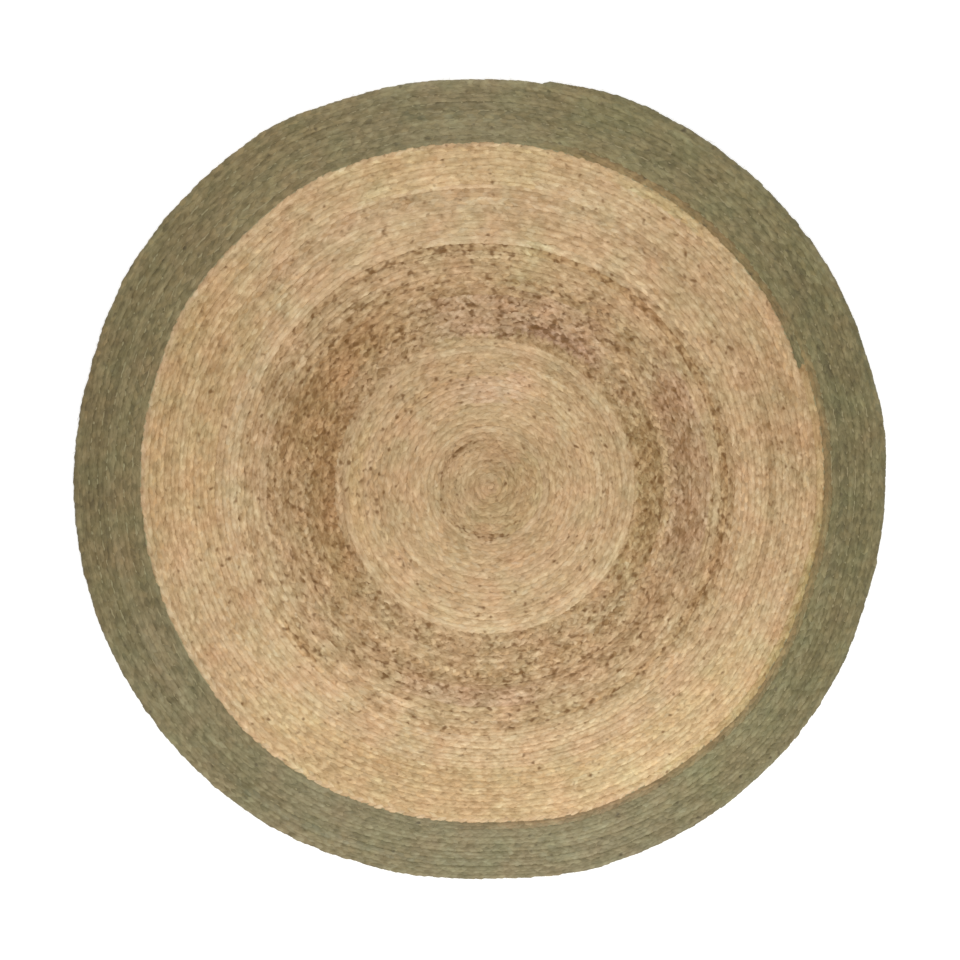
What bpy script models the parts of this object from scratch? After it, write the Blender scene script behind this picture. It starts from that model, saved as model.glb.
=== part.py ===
"""Round jute rug: one flat plait of jute, coiled from the middle outwards and stitched row to row.

The plait is spliced three times, so the rug is four coils of plait on one spiral: the pale middle,
the brown ring, the golden ring and the green border. Each coil is a solid of its own. Its rows are
ribs in the upper face, and its underside is flat. The spiral winds outwards counter-clockwise seen
from above, and its tail end is tucked in at the rim. Metres, +Z up: the rug lies on z = 0, with the
middle of its outline at the origin.
"""
from collections import namedtuple
from math import cos, radians, sin

import bmesh
import bpy
from mathutils import Vector

MM = 0.001

# The plait
RIB_HEIGHT = 8.0 * MM        # top of a row
VALLEY_HEIGHT = 5.0 * MM     # stitched edge between two rows
TIP_WIDTH = 3.5 * MM         # what is left of the plait's width at the tucked tail end
TIP_ANGLE = 11.0             # degrees along the rim over which the tail end narrows
SPLICE_GAP = 0.32 * MM       # space between two coils

# The spiral, counted in turns from the middle
FIRST_TURN = 0.5             # where the first full row starts, round the start knot
LAST_TURN = 56               # where the plait ends; its outer edge is one turn further out
TAIL_ANGLE = 80.0            # degrees round the rug at which the plait ends
EASE_FROM = 88.0             # past the tail end the rows bulge out again by one row,
EASE_TO = 119.0              # between these angles

# How far out a row lies on average, and where its own middle is, after so many turns
Ring = namedtuple("Ring", "turn radius shift_x shift_y")
RINGS = (
    Ring(0.0, 0.0 * MM, 15.0 * MM, -12.0 * MM),
    Ring(12.0, 119.0 * MM, 15.0 * MM, -12.0 * MM),
    Ring(21.667, 215.0 * MM, 11.0 * MM, -13.5 * MM),
    Ring(35.458, 362.5 * MM, 8.0 * MM, -12.5 * MM),
    Ring(42.0, 432.1 * MM, 5.0 * MM, -7.5 * MM),
    Ring(48.333, 499.5 * MM, 2.0 * MM, -5.5 * MM),
    Ring(57.0, 602.2 * MM, 0.0 * MM, 0.0 * MM),
)

# How far the hand-stitched rows stand out of round by the angle round the rug: at the seam where
# the green border starts, and at the rim
Bulge = namedtuple("Bulge", "angle seam rim")
BULGES = (
    Bulge(0.0, -2.0 * MM, -2.5 * MM),
    Bulge(7.0, -2.0 * MM, 0.5 * MM),
    Bulge(16.0, -1.0 * MM, -2.5 * MM),
    Bulge(30.0, 3.5 * MM, 0.0 * MM),
    Bulge(66.0, 2.5 * MM, -0.5 * MM),
    Bulge(84.0, 4.0 * MM, 0.5 * MM),
    Bulge(98.0, 2.5 * MM, -1.0 * MM),
    Bulge(109.0, 0.5 * MM, -4.0 * MM),
    Bulge(121.0, 1.5 * MM, 2.0 * MM),
    Bulge(135.0, -2.5 * MM, 1.0 * MM),
    Bulge(148.0, 1.0 * MM, 1.5 * MM),
    Bulge(164.0, -3.5 * MM, -3.5 * MM),
    Bulge(180.0, -5.5 * MM, -1.5 * MM),
    Bulge(200.0, -7.5 * MM, 0.0 * MM),
    Bulge(215.0, -6.0 * MM, -1.0 * MM),
    Bulge(230.0, -1.0 * MM, -1.5 * MM),
    Bulge(239.0, -1.5 * MM, -2.0 * MM),
    Bulge(255.0, -4.0 * MM, -7.0 * MM),
    Bulge(271.0, -5.5 * MM, -10.5 * MM),
    Bulge(288.0, 1.5 * MM, -1.5 * MM),
    Bulge(305.0, 2.0 * MM, 1.0 * MM),
    Bulge(320.0, 4.0 * MM, 1.5 * MM),
    Bulge(331.0, -1.0 * MM, 0.5 * MM),
    Bulge(343.0, -5.0 * MM, -3.5 * MM),
    Bulge(360.0, -2.0 * MM, -2.5 * MM),
)
ROUND_OUT_TO = 0.60          # share of the radius out to which the rows stay round
SEAM_AT = 0.83               # share of the radius at which the seam lies

# The four lengths of plait, from the middle outwards
Coil = namedtuple("Coil", "name first_turn steps colour")


def splice_turn(whole_turns, angle):
    """The turn count of a splice after so many whole turns, at an angle round the rug."""
    return whole_turns + (angle - TAIL_ANGLE) % 360.0 / 360.0


COILS = (
    Coil("middle_coil", FIRST_TURN, 36, (0.54, 0.37, 0.21)),
    Coil("brown_ring_coil", splice_turn(21, 140.0), 72, (0.43, 0.28, 0.15)),
    Coil("golden_ring_coil", splice_turn(34, 65.0), 72, (0.55, 0.38, 0.20)),
    Coil("green_border_coil", splice_turn(47, 20.0), 72, (0.22, 0.19, 0.10)),
)


def smooth(share):
    """Ease from 0 to 1 with level ends."""
    share = min(max(share, 0.0), 1.0)
    return share * share * (3.0 - 2.0 * share)


def ring_at(turn):
    """The ring after so many turns, between the rows of RINGS."""
    for inner, outer in zip(RINGS, RINGS[1:]):
        if turn <= outer.turn:
            break
    share = (turn - inner.turn) / (outer.turn - inner.turn)
    return Ring(*(a + share * (b - a) for a, b in zip(inner, outer)))


def bulge_at(angle, to_rim):
    """How far a row stands out of round at an angle, for a share of the way to the rim."""
    angle %= 360.0
    for before, after in zip(BULGES, BULGES[1:]):
        if angle <= after.angle:
            break
    share = smooth((angle - before.angle) / (after.angle - before.angle))
    seam = before.seam + share * (after.seam - before.seam)
    rim = before.rim + share * (after.rim - before.rim)
    if to_rim < SEAM_AT:
        return seam * smooth((to_rim - ROUND_OUT_TO) / (SEAM_AT - ROUND_OUT_TO))
    return seam + (rim - seam) * (to_rim - SEAM_AT) / (1.0 - SEAM_AT)


def caught_up(turn):
    """How much of a row the rows have bulged out by, past the tail end."""
    past_tail = (turn - LAST_TURN) % 1.0
    angle = TAIL_ANGLE + 360.0 * past_tail
    return (1.0 - past_tail) * smooth((angle - EASE_FROM) / (EASE_TO - EASE_FROM))


def edge_point(turn, outward=0.0, onward=0.0):
    """A point of the line between two rows, moved a little outward and onward along the plait."""
    angle = TAIL_ANGLE + 360.0 * (turn - LAST_TURN)
    ring = ring_at(min(turn + caught_up(turn) * turn / LAST_TURN, RINGS[-1].turn))
    radius = ring.radius
    radius += bulge_at(angle, radius / RINGS[-1].radius)
    to_tip = 1.0 + (turn - LAST_TURN - 1.0) * 360.0 / TIP_ANGLE
    if to_tip > 0.0:
        row_width = RINGS[-1].radius - ring_at(LAST_TURN).radius
        radius -= (row_width - TIP_WIDTH) * smooth(to_tip)
    turned = radians(angle) + onward / radius
    radius += outward
    return Vector((ring.shift_x + radius * cos(turned), ring.shift_y + radius * sin(turned), 0.0))


def chord_point(turn, steps, outward, onward):
    """An edge point on the straight run between the corners that a coil of so many steps has."""
    before = int(turn * steps + 1e-6) / steps
    share = (turn - before) * steps
    here = edge_point(before, outward, onward)
    if share < 1e-6:
        return here
    return here.lerp(edge_point(before + 1.0 / steps, outward, onward), share)


def wall_to_floor(mesh, top_loop):
    """Drop a wall from a closed loop of corners to the underside, and give its lower edges."""
    feet = [mesh.verts.new((corner.co.x, corner.co.y, 0.0)) for corner in top_loop]
    lower_edges = []
    for place in range(len(top_loop)):
        mesh.faces.new((top_loop[place - 1], top_loop[place], feet[place], feet[place - 1]))
        lower_edges.append(mesh.edges.get((feet[place - 1], feet[place])))
    return lower_edges


def coil_mesh(coil, last_turn, inner_steps, is_tail):
    """One length of plait: ribbed rows from its first turn to its last, walls and a flat underside."""
    steps = coil.steps
    first = round(coil.first_turn * steps)
    last = round(last_turn * steps)
    is_middle = inner_steps is None
    half_gap = SPLICE_GAP / 2.0
    mesh = bmesh.new()

    valleys = {}
    for step in range(first, last + steps + 1):
        turn = step / steps
        if step <= first + steps and not is_middle:
            onward = half_gap if step in (first, first + steps) else 0.0
            corner = chord_point(turn, inner_steps, half_gap, onward)
        elif step >= last and not is_tail:
            onward = -half_gap if step in (last, last + steps) else 0.0
            corner = edge_point(turn, -half_gap, onward)
        else:
            corner = edge_point(turn)
        valleys[step] = mesh.verts.new((corner.x, corner.y, VALLEY_HEIGHT))

    crests = {}
    for step in range(first, last + 1):
        inner, outer = valleys[step].co, valleys[step + steps].co
        middle = (inner + outer) / 2.0
        fullness = min((outer - inner).length / RINGS[1].radius * RINGS[1].turn, 1.0)
        middle.z = VALLEY_HEIGHT + (RIB_HEIGHT - VALLEY_HEIGHT) * fullness
        crests[step] = mesh.verts.new(middle)

    for step in range(first, last):
        mesh.faces.new((valleys[step], crests[step], crests[step + 1], valleys[step + 1]))
        mesh.faces.new((crests[step], valleys[step + steps], valleys[step + steps + 1], crests[step + 1]))

    inner_loop = [valleys[step] for step in range(first, first + steps + 1)] + [crests[first]]
    outer_loop = [valleys[step] for step in range(last, last + steps + 1)] + [crests[last]]
    lower_edges = wall_to_floor(mesh, outer_loop)
    if is_middle:
        knot = mesh.verts.new((RINGS[0].shift_x, RINGS[0].shift_y, RIB_HEIGHT))
        for place in range(len(inner_loop)):
            mesh.faces.new((inner_loop[place - 1], inner_loop[place], knot))
    else:
        lower_edges += wall_to_floor(mesh, inner_loop)
    bmesh.ops.triangle_fill(mesh, use_beauty=True, edges=lower_edges)
    bmesh.ops.recalc_face_normals(mesh, faces=mesh.faces)
    return mesh


def jute(name, colour):
    """Matt plant fibre in one batch colour."""
    material = bpy.data.materials.new(name)
    material.use_nodes = True
    shader = material.node_tree.nodes["Principled BSDF"]
    shader.inputs["Base Color"].default_value = (*colour, 1.0)
    shader.inputs["Roughness"].default_value = 0.9
    shader.inputs["Metallic"].default_value = 0.0
    return material


def outline_middle():
    """The middle of the rim's extents, which the rug is centred on."""
    steps = COILS[-1].steps
    rim = [edge_point(LAST_TURN + step / steps) for step in range(steps + 1)]
    return Vector([(min(axis) + max(axis)) / 2.0 for axis in zip(*rim)])


def add_coil(place, to_middle):
    """Add one length of plait to the scene as an object of its own."""
    coil = COILS[place]
    is_tail = place == len(COILS) - 1
    last_turn = LAST_TURN if is_tail else COILS[place + 1].first_turn
    inner_steps = COILS[place - 1].steps if place else None
    coiled = coil_mesh(coil, last_turn, inner_steps, is_tail)
    bmesh.ops.translate(coiled, verts=coiled.verts, vec=to_middle)
    mesh = bpy.data.meshes.new(coil.name)
    coiled.to_mesh(mesh)
    coiled.free()
    mesh.shade_smooth()
    mesh.set_sharp_from_angle(angle=radians(50.0))
    mesh.materials.append(jute(coil.name, coil.colour))
    bpy.context.scene.collection.objects.link(bpy.data.objects.new(coil.name, mesh))


def main():
    """Clear the scene and coil the rug."""
    for thing in list(bpy.data.objects):
        bpy.data.objects.remove(thing)
    to_middle = -outline_middle()
    for place in range(len(COILS)):
        add_coil(place, to_middle)


main()
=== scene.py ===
"""Looks of the round jute rug: its plait's crossing strands, batch colours and loose fibres.

The rug is one flat plait of three jute strands, coiled from the middle outwards. Each coil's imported
solid gives its core, flattened a little so that it only closes the gaps between the strands. Along
the coil's rows lie the strand crossings: one crossing is modelled, and its copies are turned left
and right in chevrons, as in a plait. Every crossing carries its own tone, so the batches of jute,
the slow changes along one strand and the dark flecks all follow the plait. Metres, +Z up, in the
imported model's frame.
"""

from collections import namedtuple
from math import cos, pi, radians, sin

import bpy
import numpy as np
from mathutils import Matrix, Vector


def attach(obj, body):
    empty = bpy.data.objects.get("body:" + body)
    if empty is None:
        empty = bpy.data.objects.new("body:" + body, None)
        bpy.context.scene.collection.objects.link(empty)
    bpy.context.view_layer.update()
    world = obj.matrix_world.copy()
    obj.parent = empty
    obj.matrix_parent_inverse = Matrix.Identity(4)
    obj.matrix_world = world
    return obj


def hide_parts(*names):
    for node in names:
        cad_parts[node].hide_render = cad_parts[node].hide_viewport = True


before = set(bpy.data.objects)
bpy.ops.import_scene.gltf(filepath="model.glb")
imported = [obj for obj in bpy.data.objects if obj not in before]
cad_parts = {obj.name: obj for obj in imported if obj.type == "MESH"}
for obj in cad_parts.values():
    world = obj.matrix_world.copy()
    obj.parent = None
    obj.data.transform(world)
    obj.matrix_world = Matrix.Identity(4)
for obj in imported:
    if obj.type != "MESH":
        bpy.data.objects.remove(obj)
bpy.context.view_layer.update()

MM = 0.001
SEED = 1956
chance = np.random.default_rng(SEED)

# ------------------------------------------------------------------ the spiral of the rows

FIRST_TURN = 0.06            # where the strands start, in the start knot
LAST_TURN = 56               # where the plait ends; its outer edge is one turn further out
TAIL_ANGLE = 80.0            # degrees round the rug at which the plait ends
TIP_WIDTH = 3.5 * MM         # what is left of the plait's width at the tucked tail end
TIP_ANGLE = 11.0             # degrees along the rim over which the tail end narrows
EASE_FROM = 88.0             # past the tail end there is one row less, and between these two
EASE_TO = 119.0              # angles the rows ease out to make up for it

# How far out a row lies on average, and where its own middle is, after so many turns
Ring = namedtuple("Ring", "turn radius shift_x shift_y")
RINGS = (
    Ring(0.0, 0.0 * MM, 15.0 * MM, -12.0 * MM),
    Ring(12.0, 119.0 * MM, 15.0 * MM, -12.0 * MM),
    Ring(21.667, 215.0 * MM, 11.0 * MM, -13.5 * MM),
    Ring(35.458, 362.5 * MM, 8.0 * MM, -12.5 * MM),
    Ring(42.0, 432.1 * MM, 5.0 * MM, -7.5 * MM),
    Ring(48.333, 499.5 * MM, 2.0 * MM, -5.5 * MM),
    Ring(57.0, 602.2 * MM, 0.0 * MM, 0.0 * MM),
)

# How far the hand-stitched rows stand out of round by the angle round the rug: at the seam where
# the green border starts, and at the rim
Bulge = namedtuple("Bulge", "angle seam rim")
BULGES = (
    Bulge(0.0, -2.0 * MM, -2.5 * MM),
    Bulge(7.0, -2.0 * MM, 0.5 * MM),
    Bulge(16.0, -1.0 * MM, -2.5 * MM),
    Bulge(30.0, 3.5 * MM, 0.0 * MM),
    Bulge(66.0, 2.5 * MM, -0.5 * MM),
    Bulge(84.0, 4.0 * MM, 0.5 * MM),
    Bulge(98.0, 2.5 * MM, -1.0 * MM),
    Bulge(109.0, 0.5 * MM, -4.0 * MM),
    Bulge(121.0, 1.5 * MM, 2.0 * MM),
    Bulge(135.0, -2.5 * MM, 1.0 * MM),
    Bulge(148.0, 1.0 * MM, 1.5 * MM),
    Bulge(164.0, -3.5 * MM, -3.5 * MM),
    Bulge(180.0, -5.5 * MM, -1.5 * MM),
    Bulge(200.0, -7.5 * MM, 0.0 * MM),
    Bulge(215.0, -6.0 * MM, -1.0 * MM),
    Bulge(230.0, -1.0 * MM, -1.5 * MM),
    Bulge(239.0, -1.5 * MM, -2.0 * MM),
    Bulge(255.0, -4.0 * MM, -7.0 * MM),
    Bulge(271.0, -5.5 * MM, -10.5 * MM),
    Bulge(288.0, 1.5 * MM, -1.5 * MM),
    Bulge(305.0, 2.0 * MM, 1.0 * MM),
    Bulge(320.0, 4.0 * MM, 1.5 * MM),
    Bulge(331.0, -1.0 * MM, 0.5 * MM),
    Bulge(343.0, -5.0 * MM, -3.5 * MM),
    Bulge(360.0, -2.0 * MM, -2.5 * MM),
)
ROUND_OUT_TO = 0.60          # share of the radius out to which the rows stay round
SEAM_AT = 0.83               # share of the radius at which the seam lies


def splice_turn(whole_turns, angle):
    """The turn count of a splice after so many whole turns, at an angle round the rug."""
    return whole_turns + (angle - TAIL_ANGLE) % 360.0 / 360.0


BROWN_SPLICE = splice_turn(21, 140.0)
GOLDEN_SPLICE = splice_turn(34, 65.0)
GREEN_SPLICE = splice_turn(47, 20.0)


def smooth(share):
    """Ease from 0 to 1 with level ends."""
    share = min(max(share, 0.0), 1.0)
    return share * share * (3.0 - 2.0 * share)


def ring_at(turn):
    """The ring after so many turns, between the rows of RINGS."""
    for inner, outer in zip(RINGS, RINGS[1:]):
        if turn <= outer.turn:
            break
    share = (turn - inner.turn) / (outer.turn - inner.turn)
    return Ring(*(a + share * (b - a) for a, b in zip(inner, outer)))


def bulge_at(angle, to_rim):
    """How far a row stands out of round at an angle, for a share of the way to the rim."""
    angle %= 360.0
    for before, after in zip(BULGES, BULGES[1:]):
        if angle <= after.angle:
            break
    share = smooth((angle - before.angle) / (after.angle - before.angle))
    seam = before.seam + share * (after.seam - before.seam)
    rim = before.rim + share * (after.rim - before.rim)
    if to_rim < SEAM_AT:
        return seam * smooth((to_rim - ROUND_OUT_TO) / (SEAM_AT - ROUND_OUT_TO))
    return seam + (rim - seam) * (to_rim - SEAM_AT) / (1.0 - SEAM_AT)


def caught_up(turn):
    """How much of a row the rows have bulged out by, past the tail end."""
    past_tail = (turn - LAST_TURN) % 1.0
    angle = TAIL_ANGLE + 360.0 * past_tail
    return (1.0 - past_tail) * smooth((angle - EASE_FROM) / (EASE_TO - EASE_FROM))


def edge_point(turn):
    """A point of the line between two rows, before the rug is centred."""
    angle = TAIL_ANGLE + 360.0 * (turn - LAST_TURN)
    ring = ring_at(min(turn + caught_up(turn) * turn / LAST_TURN, RINGS[-1].turn))
    radius = ring.radius
    radius += bulge_at(angle, radius / RINGS[-1].radius)
    to_tip = 1.0 + (turn - LAST_TURN - 1.0) * 360.0 / TIP_ANGLE
    if to_tip > 0.0:
        row_width = RINGS[-1].radius - ring_at(LAST_TURN).radius
        radius -= (row_width - TIP_WIDTH) * smooth(to_tip)
    return (ring.shift_x + radius * cos(radians(angle)), ring.shift_y + radius * sin(radians(angle)))


# ------------------------------------------------------------------ where the strands cross

STEPS = 360                  # samples of the spiral in one turn

# In row widths
CROSSING_PITCH = 0.97        # along the row between two crossings on one side
CROSSING_LENGTH = 2.20
CROSSING_WIDTH = 0.97
CROSSING_OFFSET = 0.19       # how far a crossing lies off the row's middle
STRAND_OFF_ROW = 0.25        # the same where a mark is laid over the rows
LOOK_AROUND = 0.25           # how far before and behind a crossing its row's direction is taken
RIM_TUCK = 0.34              # how much closer to the middle the outermost strands lie

RIM_UNEVENNESS = 0.3         # how much of the slant's changes is left there
CROSSING_DIVE = radians(-2)  # how a crossing slopes towards its end at the row's edge
CROSSING_ROLL = 0.05         # how far it leans down to the row's edge, as a slope
PLAIT_MIDDLE = 4.8 * MM      # height of the plait's own middle above the floor
PLAIT_THICKNESS = 8.0 * MM
FULL_ROW = 9.9 * MM          # narrower rows, as at the tail end, are flatter too

Crossings = namedtuple("Crossings", "turn angle row run place along outward width side")


def lay_out_crossings():
    """Step along the rows from the start knot to the tail end, and place the crossings by turns."""
    turns = np.arange(round(FIRST_TURN * STEPS), LAST_TURN * STEPS + 1) / STEPS
    edges = np.array([edge_point(turn) for turn in np.append(turns, turns[-STEPS:] + 1.0)])
    rim = edges[-STEPS - 1:]
    edges -= (rim.min(axis=0) + rim.max(axis=0)) / 2.0
    inner = edges[:len(turns)]
    outer = edges[STEPS:STEPS + len(turns)]
    middle = (inner + outer) / 2.0
    width = np.linalg.norm(outer - inner, axis=1)
    run = np.zeros(len(turns))
    run[1:] = np.cumsum(np.linalg.norm(np.diff(middle, axis=0), axis=1) / width[1:])

    number = np.arange(int(run[-1] / (CROSSING_PITCH / 2.0)))
    at = (number + 0.5) * CROSSING_PITCH / 2.0
    turn = np.interp(at, run, turns)
    place = np.stack([np.interp(at, run, middle[:, axis]) for axis in (0, 1)], axis=1)
    ahead = np.stack([np.interp(at + LOOK_AROUND, run, middle[:, axis]) for axis in (0, 1)], axis=1)
    behind = np.stack([np.interp(at - LOOK_AROUND, run, middle[:, axis]) for axis in (0, 1)], axis=1)
    along = (ahead - behind) / np.linalg.norm(ahead - behind, axis=1)[:, None]
    outward = np.stack([along[:, 1], -along[:, 0]], axis=1)
    angle = (TAIL_ANGLE + 360.0 * turn) % 360.0
    side = np.where(number % 2, 1.0, -1.0)
    row = np.floor(turn) + 0.5 + STRAND_OFF_ROW * side
    return Crossings(turn, angle, row, at, place, along, outward, np.interp(at, run, width), side)


crossings = lay_out_crossings()


# ------------------------------------------------------------------ the jute of each crossing

# Tone runs from 0, dark brown, to 1, pale straw. Along the plait, after so many turns: the batch's
# tone, how much the crossings differ, how many dark flecks show, and how steeply the strands cross.
Batch = namedtuple("Batch", "turn tone mottle flecks slant")
BATCHES = (
    Batch(0.0, 0.512, 0.010, 0.05, radians(14)),
    Batch(7.0, 0.552, 0.012, 0.05, radians(14)),
    Batch(8.0, 0.604, 0.015, 0.04, radians(10)),
    Batch(12.0, 0.564, 0.015, 0.04, radians(10)),
    Batch(15.0, 0.565, 0.015, 0.08, radians(10)),
    Batch(18.5, 0.555, 0.018, 0.08, radians(10)),
    Batch(21.0, 0.570, 0.018, 0.06, radians(10)),
    Batch(BROWN_SPLICE - 0.01, 0.530, 0.018, 0.08, radians(14)),
    Batch(BROWN_SPLICE, 0.460, 0.025, 0.12, radians(20)),
    Batch(25.0, 0.443, 0.030, 0.15, radians(20)),
    Batch(30.0, 0.462, 0.030, 0.13, radians(20)),
    Batch(31.5, 0.525, 0.030, 0.11, radians(20)),
    Batch(33.0, 0.625, 0.025, 0.09, radians(18)),
    Batch(GOLDEN_SPLICE - 0.01, 0.490, 0.025, 0.10, radians(16)),
    Batch(GOLDEN_SPLICE, 0.585, 0.018, 0.04, radians(9)),
    Batch(40.0, 0.578, 0.020, 0.06, radians(9)),
    Batch(42.0, 0.602, 0.020, 0.05, radians(9)),
    Batch(GREEN_SPLICE - 0.01, 0.615, 0.020, 0.03, radians(9)),
    Batch(GREEN_SPLICE, 0.440, 0.020, 0.04, radians(8)),
    Batch(49.0, 0.425, 0.018, 0.03, radians(8)),
    Batch(54.0, 0.418, 0.018, 0.03, radians(8)),
    Batch(56.0, 0.445, 0.018, 0.03, radians(2)),
)

# Where a stretch of rows stands out, between two angles: by its tone, its flecks and its tint
Mark = namedtuple("Mark", "first_row last_row first_angle last_angle tone flecks tint")
PLAIN = (1.0, 1.0, 1.0)
YELLOWISH = (1.00, 1.00, 0.94)
REDDISH = (1.03, 0.98, 0.91)
PINKISH = (1.01, 0.99, 1.07)
OLIVE = (0.99, 1.01, 0.94)
GREENISH = (0.96, 1.01, 0.97)
RUSTY = (1.17, 0.95, 0.84)
GREYISH = (0.99, 1.00, 1.04)
GREEN_STAINED = (0.94, 1.00, 0.90)
MARKS = (
    # the disc in the middle, and its dark-flecked edge
    Mark(0.5, 5.0, 240.0, 400.0, -0.020, 0.02, GREENISH),
    Mark(5.0, 7.0, 290.0, 400.0, 0.000, 0.00, GREENISH),
    Mark(2.3, 6.6, 104.0, 167.0, 0.045, -0.03, PLAIN),
    Mark(6.4, 7.3, 105.0, 290.0, -0.060, 0.17, PLAIN),
    Mark(5.5, 7.5, 250.0, 300.0, -0.040, 0.04, PLAIN),
    # the pale rows round it
    Mark(7.6, 11.3, 168.0, 226.0, 0.045, 0.00, PLAIN),
    Mark(14.7, 19.0, 80.0, 190.0, -0.040, 0.03, PLAIN),
    Mark(12.5, 16.5, 70.0, 108.0, 0.050, 0.00, PINKISH),
    Mark(18.3, 20.3, 155.0, 205.0, 0.020, 0.00, YELLOWISH),
    Mark(19.3, 20.7, 190.0, 345.0, 0.070, -0.08, PLAIN),
    Mark(19.3, 20.7, 345.0, 475.0, 0.015, -0.08, PLAIN),
    # the brown ring
    Mark(22.0, 25.2, 150.0, 215.0, -0.060, 0.02, REDDISH),
    Mark(25.0, 29.5, 120.0, 172.0, -0.050, 0.01, REDDISH),
    Mark(22.3, 24.3, 50.0, 82.0, -0.080, 0.05, PINKISH),
    Mark(22.5, 28.0, 50.0, 110.0, 0.030, 0.04, PINKISH),
    Mark(21.3, 25.0, 325.0, 385.0, -0.040, 0.00, OLIVE),
    Mark(26.2, 31.5, 335.0, 395.0, -0.020, 0.00, PINKISH),
    Mark(24.4, 26.8, 205.0, 277.0, 0.080, -0.05, PLAIN),
    Mark(26.6, 28.7, 242.0, 302.0, -0.040, 0.02, PLAIN),
    Mark(25.3, 26.1, 335.0, 420.0, 0.090, -0.08, PLAIN),
    Mark(28.3, 31.0, 250.0, 285.0, 0.030, 0.00, PINKISH),
    Mark(28.3, 33.0, 188.0, 254.0, 0.050, 0.00, PLAIN),
    Mark(33.2, 34.1, 285.0, 440.0, -0.070, 0.11, REDDISH),
    Mark(33.6, 35.0, 78.0, 118.0, -0.040, 0.14, PLAIN),
    Mark(29.5, 35.0, 72.0, 86.0, 0.020, -0.04, GREENISH),
    Mark(33.2, 34.8, 212.0, 228.0, -0.060, 0.10, REDDISH),
    Mark(22.0, 28.5, 298.0, 336.0, 0.040, 0.00, PLAIN),
    Mark(29.5, 35.0, 112.0, 152.0, -0.035, 0.02, PLAIN),
    # the golden ring
    Mark(33.9, 36.3, 318.0, 382.0, -0.050, 0.02, PLAIN),
    Mark(34.6, 43.0, 170.0, 240.0, 0.045, 0.00, PLAIN),
    Mark(40.0, 47.5, 225.0, 330.0, 0.000, 0.00, YELLOWISH),
    Mark(40.0, 48.2, 287.0, 335.0, 0.065, 0.00, PLAIN),
    Mark(40.3, 47.9, 240.0, 280.0, -0.040, 0.00, PLAIN),
    Mark(38.0, 47.5, 140.0, 190.0, -0.010, 0.00, YELLOWISH),
    Mark(42.5, 47.5, 75.0, 115.0, 0.020, 0.00, YELLOWISH),
    Mark(38.3, 43.0, 361.0, 424.0, -0.050, 0.02, PLAIN),
    Mark(40.1, 41.0, 330.0, 385.0, -0.060, 0.03, PLAIN),
    Mark(40.0, 47.9, 65.0, 175.0, -0.025, 0.01, PLAIN),
    Mark(41.0, 47.5, 358.0, 395.0, -0.030, 0.02, PLAIN),
    # the green border, browner at its seam
    Mark(48.0, 48.8, 270.0, 385.0, 0.040, 0.00, RUSTY),
    Mark(47.0, 48.0, 387.0, 435.0, 0.030, 0.04, RUSTY),
    Mark(47.3, 48.0, 318.0, 354.0, -0.110, 0.00, GREEN_STAINED),
    Mark(49.0, 54.0, 274.0, 328.0, 0.060, 0.00, PLAIN),
    Mark(55.2, 57.0, 290.0, 430.0, -0.030, 0.00, GREYISH),
    Mark(45.5, 47.0, 408.0, 425.0, -0.040, 0.00, GREEN_STAINED),
    Mark(47.0, 56.0, 300.0, 440.0, -0.030, 0.00, OLIVE),
    Mark(48.0, 56.0, 235.0, 325.0, 0.000, 0.00, GREYISH),
    Mark(48.0, 56.0, 110.0, 200.0, -0.040, 0.00, REDDISH),
)
ROW_EDGE = 0.4               # rows over which a mark fades in and out
ANGLE_EDGE = 14.0            # and degrees

STRANDS = 3                  # each strand comes back after so many crossings
STRAND_MEMORY = 0.95         # how much of its tone it keeps from one of them to the next
STRAND_DRIFT = 0.010         # how much it changes between them
PLAIT_MEMORY = 0.995         # the same for the plait as a whole
PLAIT_DRIFT = 0.0022
TWO_SIDED_PAINTED_LIGHT = 0.034       # painted light: how much paler than average the rug is on two opposite sides,
TWO_SIDED_ANGLE = 88.0       # of which one is at this angle
ONE_SIDED_PAINTED_LIGHT = 0.008       # and painted light, paler on one side,
ONE_SIDED_ANGLE = 275.0      # which is at this one
PAINTED_LIGHT_FROM = 25.0            # both come in over the first so many turns
WARMTH_DRIFT = 0.004         # how much a strand's warmth changes, and how much its crossings differ
WARMTH_MOTTLE = 0.006
WARMTH_TINT = (1.0, 0.0, -1.5)      # what warmth adds to red, green and blue


def batch_value(field, turns):
    """One column of BATCHES after so many turns."""
    values = [getattr(batch, field) for batch in BATCHES]
    return np.interp(turns, [batch.turn for batch in BATCHES], values)


def slow_changes(count, drift, memory, reach):
    """Changes that build up slowly, each crossing keeping to the one so many crossings before it."""
    changes = chance.normal(0.0, drift, count)
    for number in range(reach, count):
        changes[number] += memory * changes[number - reach]
    return changes


def towards(angle):
    """1 on the side of the rug at an angle, -1 on the far side, for each crossing."""
    return np.cos(np.radians(crossings.angle - angle))


def two_sided(angle):
    """1 on the two sides of the rug at an angle and opposite it, -1 between them."""
    return np.cos(2.0 * np.radians(crossings.angle - angle))


def share_of(mark):
    """How much of a mark each crossing shows, from 0 to 1."""
    middle = (mark.first_row + mark.last_row) / 2.0
    inside = (mark.last_row - mark.first_row) / 2.0 - np.abs(crossings.row - middle)
    by_row = np.clip(inside / ROW_EDGE + 0.5, 0.0, 1.0)
    middle = (mark.first_angle + mark.last_angle) / 2.0
    off = np.abs((crossings.angle - middle + 180.0) % 360.0 - 180.0)
    inside = (mark.last_angle - mark.first_angle) / 2.0 - off
    return by_row * np.clip(inside / ANGLE_EDGE + 0.5, 0.0, 1.0)


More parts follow.
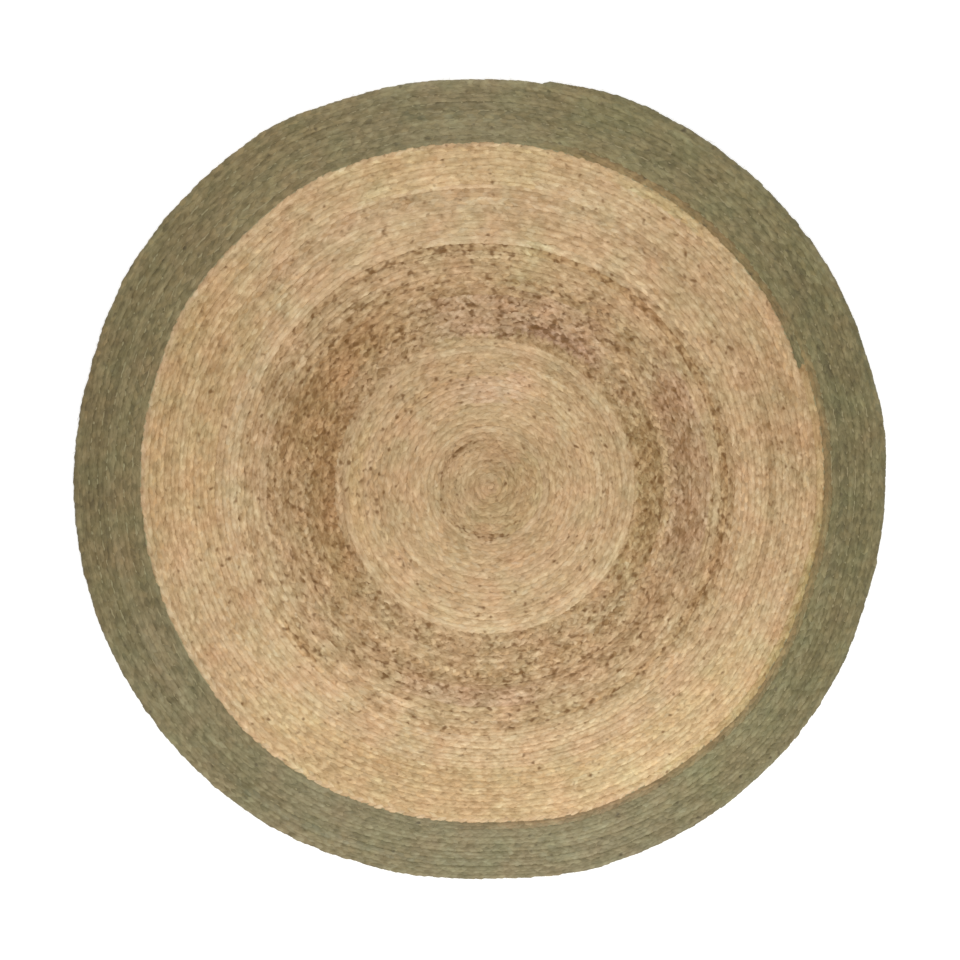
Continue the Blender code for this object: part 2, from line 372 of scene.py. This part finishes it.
def jute_of_crossings():
    """Each crossing's tone, with painted light that makes some sides of the rug paler, its flecks and
    grain, and the tint of its jute.
    """
    count = len(crossings.turn)
    tone = batch_value("tone", crossings.turn)
    tone += slow_changes(count, STRAND_DRIFT, STRAND_MEMORY, STRANDS)
    tone += slow_changes(count, PLAIT_DRIFT, PLAIT_MEMORY, 1)
    # painted light: tone paler on two opposite sides and on the side nearer the key lamp, where the
    # lamps catch the rows
    painted_light = TWO_SIDED_PAINTED_LIGHT * two_sided(TWO_SIDED_ANGLE) + ONE_SIDED_PAINTED_LIGHT * towards(ONE_SIDED_ANGLE)
    tone += np.minimum(crossings.turn / PAINTED_LIGHT_FROM, 1.0) * painted_light
    tone += chance.normal(0.0, 1.0, count) * batch_value("mottle", crossings.turn)
    flecks = batch_value("flecks", crossings.turn)
    warmth = slow_changes(count, WARMTH_DRIFT, STRAND_MEMORY, STRANDS)
    warmth += chance.normal(0.0, WARMTH_MOTTLE, count)
    tint = 1.0 + warmth[:, None] * WARMTH_TINT
    for mark in MARKS:
        share = share_of(mark)
        tone += share * mark.tone
        flecks += share * mark.flecks
        tint *= 1.0 + share[:, None] * (np.array(mark.tint) - 1.0)
    own = np.stack([tone, flecks, chance.random(count), np.ones(count)], axis=1)
    return own, np.column_stack([tint, np.ones(count)])


jute, tints = jute_of_crossings()


# ------------------------------------------------------------------ models that repeat

Model = namedtuple("Model", "points faces uvs")
SPINDLE_TURN = radians(24)   # about its own length, so that no edge runs straight along its top
SPINDLE_STRETCH = (1.0, 1.09392, 1.005696)      # makes it as wide and thick as it is long
FIBRE_RADIUS = 0.007         # of its length
FIBRE_STEP = 0.32
FIBRE_BENDS = (              # sideways, up, and what is left of its thickness, for each step
    (0.03, 0.06, 0.95),
    (0.10, 0.02, 0.80),
    (0.16, -0.05, 0.50),
)


def taken_down(piece):
    """The finished model's corners, triangles and UV corners, with its object removed."""
    bpy.ops.mesh.select_all(action="SELECT")
    bpy.ops.mesh.quads_convert_to_tris()
    bpy.ops.object.mode_set(mode="OBJECT")
    mesh = piece.data
    points = np.array([corner.co for corner in mesh.vertices])
    faces = np.array([face.vertices for face in mesh.polygons])
    uvs = np.array([corner.uv for corner in mesh.uv_layers.active.data])
    bpy.data.objects.remove(piece)
    return Model(points, faces, uvs)


def model_crossing():
    """One strand between two crossings, 1 long, wide and thick: a six-sided spindle along X."""
    bpy.ops.mesh.primitive_uv_sphere_add(segments=6, ring_count=4, radius=0.5)
    spindle = bpy.context.object
    bpy.ops.object.mode_set(mode="EDIT")
    bpy.ops.mesh.select_mode(type="VERT")
    bpy.ops.mesh.select_all(action="SELECT")
    bpy.ops.transform.rotate(value=SPINDLE_TURN, orient_axis="Z", center_override=(0, 0, 0))
    bpy.ops.transform.rotate(value=radians(-90), orient_axis="Y", center_override=(0, 0, 0))
    bpy.ops.transform.resize(value=SPINDLE_STRETCH, center_override=(0, 0, 0))
    return taken_down(spindle)


def model_fibre():
    """One loose fibre, about 1 long: three-sided, bent sideways, arched and drawn out to a point."""
    bpy.ops.mesh.primitive_circle_add(
        vertices=3, radius=FIBRE_RADIUS, fill_type="NGON", rotation=(0, pi / 2, 0)
    )
    fibre = bpy.context.object
    bpy.ops.object.transform_apply(location=False, rotation=True, scale=False)
    bpy.ops.object.mode_set(mode="EDIT")
    bpy.ops.mesh.select_mode(type="VERT")
    bpy.ops.mesh.select_all(action="SELECT")
    for sideways, up, narrowing in FIBRE_BENDS:
        bpy.ops.mesh.extrude_region_move(TRANSFORM_OT_translate={"value": (FIBRE_STEP, sideways, up)})
        bpy.ops.transform.resize(value=(1.0, narrowing, narrowing))
    bpy.ops.mesh.merge(type="CENTER")
    bpy.ops.mesh.select_all(action="SELECT")
    bpy.ops.mesh.normals_make_consistent(inside=False)
    return taken_down(fibre)


def axes_of(forward, upward):
    """Unit axes (along, across, up) of copies that run forward, their tops as near upward as can be."""
    along = forward / np.linalg.norm(forward, axis=1)[:, None]
    across = np.cross(upward, along)
    across /= np.linalg.norm(across, axis=1)[:, None]
    return np.stack([along, across, np.cross(along, across)], axis=1)


def on_the_plait(points, chosen):
    """How far along the plait, and on which row, each corner of the copies lies, in row widths."""
    off_row = points[:, :, :2] - crossings.place[chosen][:, None, :]
    off_row /= crossings.width[chosen][:, None, None]
    plait = np.zeros_like(points)
    plait[:, :, 0] = np.einsum("cpx,cx->cp", off_row, crossings.along[chosen])
    plait[:, :, 0] += crossings.run[chosen][:, None]
    plait[:, :, 1] = np.einsum("cpx,cx->cp", off_row, crossings.outward[chosen])
    plait[:, :, 1] += np.floor(crossings.turn[chosen])[:, None] + 0.5
    return plait


def add_copies(name, model, places, axes, sizes, chosen, material):
    """A joined mesh with a copy of the model at each place, and its crossing's jute on its corners."""
    shaped = model.points[None, :, :] * sizes[:, None, :]
    points = np.einsum("cpa,cax->cpx", shaped, axes) + places[:, None, :]
    first_point = np.arange(len(places)) * len(model.points)
    faces = model.faces[None, :, :] + first_point[:, None, None]
    mesh = bpy.data.meshes.new(name)
    mesh.from_pydata(points.reshape(-1, 3), [], faces.reshape(-1, 3))
    mesh.shade_smooth()
    along_strand = mesh.uv_layers.new(name="strand")
    along_strand.data.foreach_set("uv", np.tile(model.uvs, (len(places), 1)).ravel())
    for attribute, values in (("jute", jute), ("tint", tints)):
        colours = mesh.attributes.new(attribute, "FLOAT_COLOR", "POINT")
        colours.data.foreach_set("color", np.repeat(values[chosen], len(model.points), axis=0).ravel())
    along_plait = mesh.attributes.new("plait", "FLOAT_VECTOR", "POINT")
    along_plait.data.foreach_set("vector", on_the_plait(points, chosen).ravel())
    mesh.materials.append(material)
    piece = bpy.data.objects.new(name, mesh)
    bpy.context.scene.collection.objects.link(piece)
    return piece


bpy.ops.object.select_all(action="DESELECT")
CROSSING = model_crossing()
FIBRE = model_fibre()


# ------------------------------------------------------------------ jute finishes

def linear(red, green, blue):
    """A linear colour from screen values of 0 to 255."""
    parts = [part / 255.0 for part in (red, green, blue)]
    parts = [part / 12.92 if part <= 0.04045 else ((part + 0.055) / 1.055) ** 2.4 for part in parts]
    return (*parts, 1.0)


# The colours of undyed and of dyed jute by their tone; a dark fleck is near the darkest of them
NATURAL = (
    (0.00, linear(100, 63, 8)),
    (0.30, linear(142, 110, 71)),
    (0.50, linear(177, 146, 109)),
    (0.65, linear(200, 170, 133)),
    (0.85, linear(225, 199, 162)),
    (1.00, linear(240, 220, 187)),
)
GREEN = (
    (0.00, linear(70, 60, 38)),
    (0.30, linear(109, 99, 69)),
    (0.50, linear(135, 123, 92)),
    (0.70, linear(156, 146, 114)),
    (1.00, linear(180, 171, 140)),
)

# How dense each noise is: along and across a strand, along and across a row, or in a metre
Density = namedtuple("Density", "along across")
YARNS = Density(7.0, 1.3)
FIBRES = Density(38.0, 2.2)
STREAKS = Density(0.22, 1.8)
STROKES = Density(0.85, 1.0)
HUSKS = Density(0.80, 0.95)
PATCH_DENSITY = 9.0
HUE_DENSITY = 22.0
OWN_GRAIN = 40.0             # how far apart in the noise two crossings' yarns may lie

YARN_CONTRAST = 0.2          # how much yarns differ in tone, as a share of the streaks' contrast
STROKE_CONTRAST = 1.5        # the same for the short strokes
FIBRE_CONTRAST = 0.32        # how much the single fibres of a yarn differ in tone
COOL_HUE = linear(242, 251, 244)    # soft patches of the jute lean to one of these
WARM_HUE = linear(255, 245, 239)
HUE_CONTRAST = 1.6           # how clearly they do
HUE_START = 0.35
FLECK_FRAYING = 0.20         # how much the fibres break up a fleck's edge
FLECK_LIMIT = 0.70           # where the husks and the crossing's flecks together reach this, one lies
FLECK_SHARPNESS = 7.0
FLECK_DEPTH = 0.80           # how far a dark fleck's colour goes to the darkest of its jute
SMOOTHEST = 0.45             # roughness of the lowest yarns, and what it gains to the highest
ROUGHNESS_GAIN = 0.25
FIBRE_RELIEF = 0.6           # how high the fibres stand beside the yarns
RELIEF_HEIGHT = 0.5 * MM


class Wiring:
    """Adds and joins shader nodes, each from left to right."""

    def __init__(self, material):
        material.use_nodes = True
        self.tree = material.node_tree
        self.shader = self.tree.nodes["Principled BSDF"]

    def add(self, kind, inputs=None, **settings):
        """A node with its inputs set to values or joined to other nodes' outputs."""
        node = self.tree.nodes.new(kind)
        for name, value in settings.items():
            setattr(node, name, value)
        for name, value in (inputs or {}).items():
            self.join(value, node.inputs[name])
        return node

    def join(self, value, socket):
        """Set a socket to a value, or join an output to it."""
        if isinstance(value, bpy.types.NodeSocket):
            self.tree.links.new(value, socket)
        else:
            socket.default_value = value

    def reckon(self, operation, first, second):
        """The result of an operation on two outputs or values."""
        return self.add("ShaderNodeMath", {0: first, 1: second}, operation=operation).outputs[0]

    def plus(self, first, second):
        """A sum."""
        return self.reckon("ADD", first, second)

    def minus(self, first, second):
        """A difference."""
        return self.reckon("SUBTRACT", first, second)

    def times(self, first, second):
        """A product."""
        return self.reckon("MULTIPLY", first, second)

    def swing(self, noise, reach):
        """Noise turned into changes both ways from 0."""
        return self.times(self.minus(noise, 0.5), reach)

    def stretched(self, coordinates, density, depth=0.0):
        """Coordinates for noise that is so dense along and across a strand or a row."""
        split = self.add("ShaderNodeSeparateXYZ", {"Vector": coordinates}).outputs
        scaled = {
            "X": self.times(split["X"], density.along),
            "Y": self.times(split["Y"], density.across),
            "Z": depth,
        }
        return self.add("ShaderNodeCombineXYZ", scaled).outputs["Vector"]

    def noise(self, vector, scale=1.0, detail=2.0, roughness=0.5):
        """Noise between 0 and 1."""
        inputs = {"Vector": vector, "Scale": scale, "Detail": detail, "Roughness": roughness}
        return self.add("ShaderNodeTexNoise", inputs).outputs["Fac"]

    def ramp(self, fac, stops):
        """A colour ramp through the given stops."""
        node = self.add("ShaderNodeValToRGB", {"Fac": fac})
        elements = node.color_ramp.elements
        while len(elements) < len(stops):
            elements.new(0.5)
        for element, (position, colour) in zip(elements, stops):
            element.position = position
            element.color = colour
        return node.outputs["Color"]

    def mix(self, fac, first, second, blend="MIX"):
        """Two colours mixed."""
        node = self.add("ShaderNodeMix", data_type="RGBA", blend_type=blend)
        self.join(fac, node.inputs[0])
        self.join(first, node.inputs[6])
        self.join(second, node.inputs[7])
        return node.outputs[2]


Noises = namedtuple("Noises", "yarns fibres streak stroke husks patch hue")


def jute_noises(wire, grain):
    """Yarns and fibres along the strand, streaks, strokes and husks along the row, and soft patches."""
    strand = wire.add("ShaderNodeUVMap", uv_map="strand").outputs["UV"]
    plait = wire.add("ShaderNodeAttribute", attribute_name="plait").outputs["Vector"]
    place = wire.add("ShaderNodeTexCoord").outputs["Object"]
    return Noises(
        yarns=wire.noise(wire.stretched(strand, YARNS, grain), detail=1.0),
        fibres=wire.noise(wire.stretched(strand, FIBRES, grain), roughness=0.6),
        streak=wire.noise(wire.stretched(plait, STREAKS)),
        stroke=wire.noise(wire.stretched(plait, STROKES)),
        husks=wire.noise(wire.stretched(plait, HUSKS), detail=1.0, roughness=0.6),
        patch=wire.noise(place, PATCH_DENSITY),
        hue=wire.noise(place, HUE_DENSITY),
    )


def shaded(wire, tone, noises, streaks, patches):
    """A crossing's tone with all that changes it within the crossing."""
    reaches = (
        (noises.yarns, streaks * YARN_CONTRAST),
        (noises.fibres, FIBRE_CONTRAST),
        (noises.streak, streaks),
        (noises.stroke, streaks * STROKE_CONTRAST),
        (noises.patch, patches),
    )
    for noise, reach in reaches:
        tone = wire.plus(tone, wire.swing(noise, reach))
    return tone


def two_hued(wire, colour, hue):
    """The colour, cooler and warmer in soft patches."""
    cool = wire.mix(1.0, colour, COOL_HUE, "MULTIPLY")
    warm = wire.mix(1.0, colour, WARM_HUE, "MULTIPLY")
    return wire.mix(wire.minus(wire.times(hue, HUE_CONTRAST), HUE_START), cool, warm)


def flecked(wire, colour, darkest, flecks, noises):
    """The colour with its dark flecks."""
    frayed = wire.plus(noises.husks, wire.swing(noises.fibres, FLECK_FRAYING))
    over_limit = wire.minus(wire.plus(frayed, flecks), FLECK_LIMIT)
    fleck = wire.add("ShaderNodeClamp", {"Value": wire.times(over_limit, FLECK_SHARPNESS)}).outputs[0]
    return wire.mix(wire.times(fleck, FLECK_DEPTH), colour, darkest)


def set_surface(wire, noises):
    """Matt, with the yarns and fibres in low relief."""
    rough = wire.plus(wire.times(noises.yarns, ROUGHNESS_GAIN), SMOOTHEST)
    wire.join(rough, wire.shader.inputs["Roughness"])
    wire.shader.inputs["Specular IOR Level"].default_value = 0.3
    wire.shader.inputs["Sheen Weight"].default_value = 0.08
    wire.shader.inputs["Sheen Roughness"].default_value = 0.5
    relief = wire.plus(noises.yarns, wire.times(noises.fibres, FIBRE_RELIEF))
    bump = wire.add("ShaderNodeBump", {"Strength": 0.4, "Distance": RELIEF_HEIGHT, "Height": relief})
    wire.join(bump.outputs["Normal"], wire.shader.inputs["Normal"])


def jute_finish(name, ramp, streaks, patches):
    """Matt jute yarn: fibres, streaks, dark flecks, and each crossing's own tone and tint."""
    material = bpy.data.materials.new(name)
    wire = Wiring(material)
    own = wire.add("ShaderNodeAttribute", attribute_name="jute").outputs["Color"]
    tint = wire.add("ShaderNodeAttribute", attribute_name="tint").outputs["Color"]
    parts = wire.add("ShaderNodeSeparateColor", {"Color": own}).outputs
    noises = jute_noises(wire, wire.times(parts["Blue"], OWN_GRAIN))
    shade = shaded(wire, parts["Red"], noises, streaks, patches)
    colour = wire.mix(1.0, wire.ramp(shade, ramp), tint, "MULTIPLY")
    colour = two_hued(wire, colour, noises.hue)
    darkest = ramp[0][1]
    colour = flecked(wire, colour, darkest, parts["Green"], noises)
    wire.join(colour, wire.shader.inputs["Base Color"])
    set_surface(wire, noises)
    return material


# ------------------------------------------------------------------ the coils

# One length of plait: from its first to its last turn, in how many pieces its strands are made, its
# colours, how much its streaks and patches differ in tone, and its size laid flat
Coil = namedtuple(
    "Coil", "name slot first_turn last_turn parts ramp streaks patches flat_size flat_area"
)
COILS = (
    Coil(
        "middle", "middle_jute", 0.0, BROWN_SPLICE, 1,
        NATURAL, 0.30, 0.10, (0.434, 0.437), 0.146,
    ),
    Coil(
        "brown_ring", "brown_jute", BROWN_SPLICE, GOLDEN_SPLICE, 1,
        NATURAL, 0.44, 0.16, (0.739, 0.730), 0.27,
    ),
    Coil(
        "golden_ring", "golden_jute", GOLDEN_SPLICE, GREEN_SPLICE, 2,
        NATURAL, 0.35, 0.10, (1.02, 1.007), 0.37,
    ),
    Coil(
        "green_border", "green_jute", GREEN_SPLICE, LAST_TURN + 1.0, 1,
        GREEN, 0.36, 0.10, (0.098, 3.46), 0.336,
    ),
)
SAME_CORNER = 0.01 * MM      # corners of a solid closer than this are one
CORE_LIFT = 2.1 * MM         # how far the core's underside lies above the floor
CORE_FLATTENING = 0.66       # of the solid's thickness
CORE_INSET = 0.9975          # of the solid's width
BORDER_INSET = 0.990         # and of the border's core again, to stay behind the outermost strands
CORE_JUTE = (0.60, 0.0, 0.5, 1.0)   # tone, flecks and grain of the core between the strands
CORE_TINT = (1.0, 1.0, 1.0, 1.0)


def flatten_core(coil, material):
    """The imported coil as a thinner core, which closes the gaps between the strands."""
    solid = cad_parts[coil.name + "_coil"]
    core = bpy.data.objects.new(coil.name + "_core", solid.data.copy())
    bpy.context.scene.collection.objects.link(core)
    bpy.ops.object.select_all(action="DESELECT")
    core.select_set(True)
    bpy.context.view_layer.objects.active = core
    bpy.ops.object.mode_set(mode="EDIT")
    bpy.ops.mesh.select_all(action="SELECT")
    bpy.ops.mesh.remove_doubles(threshold=SAME_CORNER)
    bpy.ops.transform.resize(
        value=(CORE_INSET, CORE_INSET, CORE_FLATTENING), center_override=(0, 0, 0)
    )
    bpy.ops.transform.translate(value=(0, 0, CORE_LIFT))
    if coil.last_turn > LAST_TURN:
        bpy.ops.transform.resize(value=(BORDER_INSET, BORDER_INSET, 1.0), center_override=(0, 0, 0))
    bpy.ops.object.mode_set(mode="OBJECT")
    mesh = core.data
    for attribute, value in (("jute", CORE_JUTE), ("tint", CORE_TINT)):
        colours = mesh.attributes.new(attribute, "FLOAT_COLOR", "POINT")
        colours.data.foreach_set("color", value * len(mesh.vertices))
    mesh.uv_layers.new(name="strand")
    mesh.materials.clear()
    mesh.materials.append(material)
    return core


# How much the crossings differ, as the plaiter's hand isn't even
SLANT_DRIFT = radians(0.7)   # from one to the next
SLANT_SCATTER = radians(3.5)
DIVE_SCATTER = radians(2.5)
LEAN_SCATTER = 0.10          # as a slope
OFFSET_SCATTER = 0.02        # in row widths, and the next one too
PLACE_SCATTER = 0.03
HEIGHT_SCATTER = 0.12 * MM
SIZE_SCATTER = 0.05
SCATTERED_SHARE = np.array((1.0, 1.0, 0.6))     # how much of it the length, width and thickness get


def add_crossings(name, chosen, material):
    """The strand crossings of one stretch of plait."""
    count = len(chosen)
    at_rim = crossings.turn[chosen] > LAST_TURN - 1.0
    uneven = slow_changes(count, SLANT_DRIFT, PLAIT_MEMORY, 1) + chance.normal(0.0, SLANT_SCATTER, count)
    uneven *= np.where(at_rim, RIM_UNEVENNESS, 1.0)
    slant = batch_value("slant", crossings.turn[chosen]) + uneven
    side = crossings.side[chosen]
    width = crossings.width[chosen]
    heading = (
        crossings.outward[chosen] * (side * np.sin(slant))[:, None]
        - crossings.along[chosen] * np.cos(slant)[:, None]
    )
    dive = CROSSING_DIVE + chance.normal(0.0, DIVE_SCATTER, count)
    forward = np.column_stack([heading * np.cos(dive)[:, None], np.sin(dive)])
    lean = chance.normal(0.0, LEAN_SCATTER, (count, 2))
    lean += crossings.outward[chosen] * (side * CROSSING_ROLL)[:, None]
    upward = np.column_stack([lean, np.ones(count)])
    offset = side * (CROSSING_OFFSET + chance.normal(0.0, OFFSET_SCATTER, count)) * width
    offset -= RIM_TUCK * width * at_rim
    flat_place = crossings.place[chosen] + crossings.outward[chosen] * offset[:, None]
    flat_place += chance.normal(0.0, PLACE_SCATTER, (count, 2)) * width[:, None]
    height = PLAIT_MIDDLE + chance.normal(0.0, HEIGHT_SCATTER, count)
    thickness = PLAIT_THICKNESS * np.minimum(width / FULL_ROW, 1.0)
    sizes = np.column_stack([width * CROSSING_LENGTH, width * CROSSING_WIDTH, thickness])
    sizes *= chance.normal(1.0, SIZE_SCATTER, (count, 3)) * SCATTERED_SHARE + (1.0 - SCATTERED_SHARE)
    places = np.column_stack([flat_place, height])
    return add_copies(name, CROSSING, places, axes_of(forward, upward), sizes, chosen, material)


FIBRE_SHARE = 0.30           # loose fibres for each crossing
FIBRE_RISE = (radians(-2), radians(8))
FIBRE_ROLL = 0.4             # to either side, as a slope
FIBRE_SPREAD = 0.45          # how far from a crossing one starts, in row widths
FIBRE_HEIGHT = (5.6 * MM, 6.9 * MM)
FIBRE_LENGTH = (9.0 * MM, 24.0 * MM)


def add_fibres(name, chosen, material):
    """Loose fibres that stand out of the plait here and there."""
    chosen = chosen[chance.random(len(chosen)) < FIBRE_SHARE]
    count = len(chosen)
    heading = chance.uniform(0.0, 2.0 * pi, count)
    rise = chance.uniform(*FIBRE_RISE, count)
    flat = np.cos(rise)
    forward = np.column_stack([np.cos(heading) * flat, np.sin(heading) * flat, np.sin(rise)])
    roll = chance.uniform(-FIBRE_ROLL, FIBRE_ROLL, (count, 2))
    upward = np.column_stack([roll, np.ones(count)])
    width = crossings.width[chosen]
    off_crossing = chance.uniform(-FIBRE_SPREAD, FIBRE_SPREAD, (count, 2)) * width[:, None]
    flat_place = crossings.place[chosen] + off_crossing
    height = chance.uniform(*FIBRE_HEIGHT, count) * np.minimum(width / FULL_ROW, 1.0)
    length = chance.uniform(*FIBRE_LENGTH, count)
    sizes = np.repeat(length[:, None], 3, axis=1)
    places = np.column_stack([flat_place, height])
    return add_copies(name, FIBRE, places, axes_of(forward, upward), sizes, chosen, material)


def dress_coil(coil):
    """Core, crossings and loose fibres of one coil, each riding with the rug."""
    material = jute_finish(coil.slot, coil.ramp, coil.streaks, coil.patches)
    core = flatten_core(coil, material)
    own = np.flatnonzero((crossings.turn >= coil.first_turn) & (crossings.turn < coil.last_turn))
    stretches = np.array_split(own, coil.parts)
    strands = [
        add_crossings(f"{coil.name}_strands_{number}", stretch, material)
        for number, stretch in enumerate(stretches, start=1)
    ]
    fibres = add_fibres(coil.name + "_loose_fibres", own, material)
    for piece in (core, *strands, fibres):
        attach(piece, "root")
    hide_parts(coil.name + "_coil")


for coil in COILS:
    dress_coil(coil)


# ------------------------------------------------------------------ floor, light and camera

FLOOR_SIZE = 64.0            # so wide that its edge hardly shows from the side
FLOOR_WHITE = (0.94, 0.94, 0.94, 1.0)
FLOOR_GLOW = 0.25            # the floor is lit from below as well, as a white studio table
CAMERA_HEIGHT = 3.0
PICTURE_WIDTH = 1.4135       # how much of the floor the photograph takes in
PICTURE_MIDDLE = (0.0006, -0.0017)
SENSOR = 36.0                # millimetres
FARTHEST_SEEN = 50.0
WHITE = (1.0, 1.0, 1.0, 1.0)
SKY_STRENGTH = 0.76


def add_floor():
    """A plain white floor."""
    bpy.ops.mesh.primitive_plane_add(size=FLOOR_SIZE)
    floor = bpy.context.object
    floor.name = "floor"
    material = bpy.data.materials.new("white_floor")
    wire = Wiring(material)
    wire.shader.inputs["Base Color"].default_value = FLOOR_WHITE
    wire.shader.inputs["Roughness"].default_value = 0.9
    wire.shader.inputs["Specular IOR Level"].default_value = 0.1
    wire.shader.inputs["Emission Color"].default_value = WHITE
    wire.shader.inputs["Emission Strength"].default_value = FLOOR_GLOW
    floor.data.materials.append(material)


def add_soft_light(name, place, size, power, colour):
    """A large square lamp that faces the rug's middle."""
    lamp = bpy.data.lights.new(name, "AREA")
    lamp.shape = "SQUARE"
    lamp.size = size
    lamp.energy = power
    lamp.color = colour
    light = bpy.data.objects.new(name, lamp)
    light.location = place
    light.rotation_euler = (-Vector(place)).to_track_quat("-Z", "Y").to_euler()
    bpy.context.scene.collection.objects.link(light)


def add_sky(strength):
    """Even light from all around."""
    world = bpy.data.worlds.new("even_light")
    world.use_nodes = True
    background = world.node_tree.nodes["Background"]
    background.inputs["Color"].default_value = WHITE
    background.inputs["Strength"].default_value = strength
    bpy.context.scene.world = world


def add_camera():
    """Straight above the rug, with the top of the photograph at +Y."""
    camera = bpy.data.cameras.new("camera")
    camera.sensor_width = SENSOR
    camera.lens = SENSOR * (CAMERA_HEIGHT - PLAIT_MIDDLE) / PICTURE_WIDTH
    camera.clip_end = FARTHEST_SEEN
    viewer = bpy.data.objects.new("camera", camera)
    viewer.location = (*PICTURE_MIDDLE, CAMERA_HEIGHT)
    bpy.context.scene.collection.objects.link(viewer)
    bpy.context.scene.camera = viewer


add_floor()
add_sky(SKY_STRENGTH)
add_soft_light("key_light", place=(0.6, -2.3, 1.9), size=1.2, power=43.0, colour=(1.0, 0.99, 0.97))
add_soft_light("fill_light", place=(-0.3, 2.5, 2.2), size=1.4, power=26.0, colour=(0.98, 0.99, 1.0))
add_camera()
bpy.context.scene.view_settings.view_transform = "Standard"
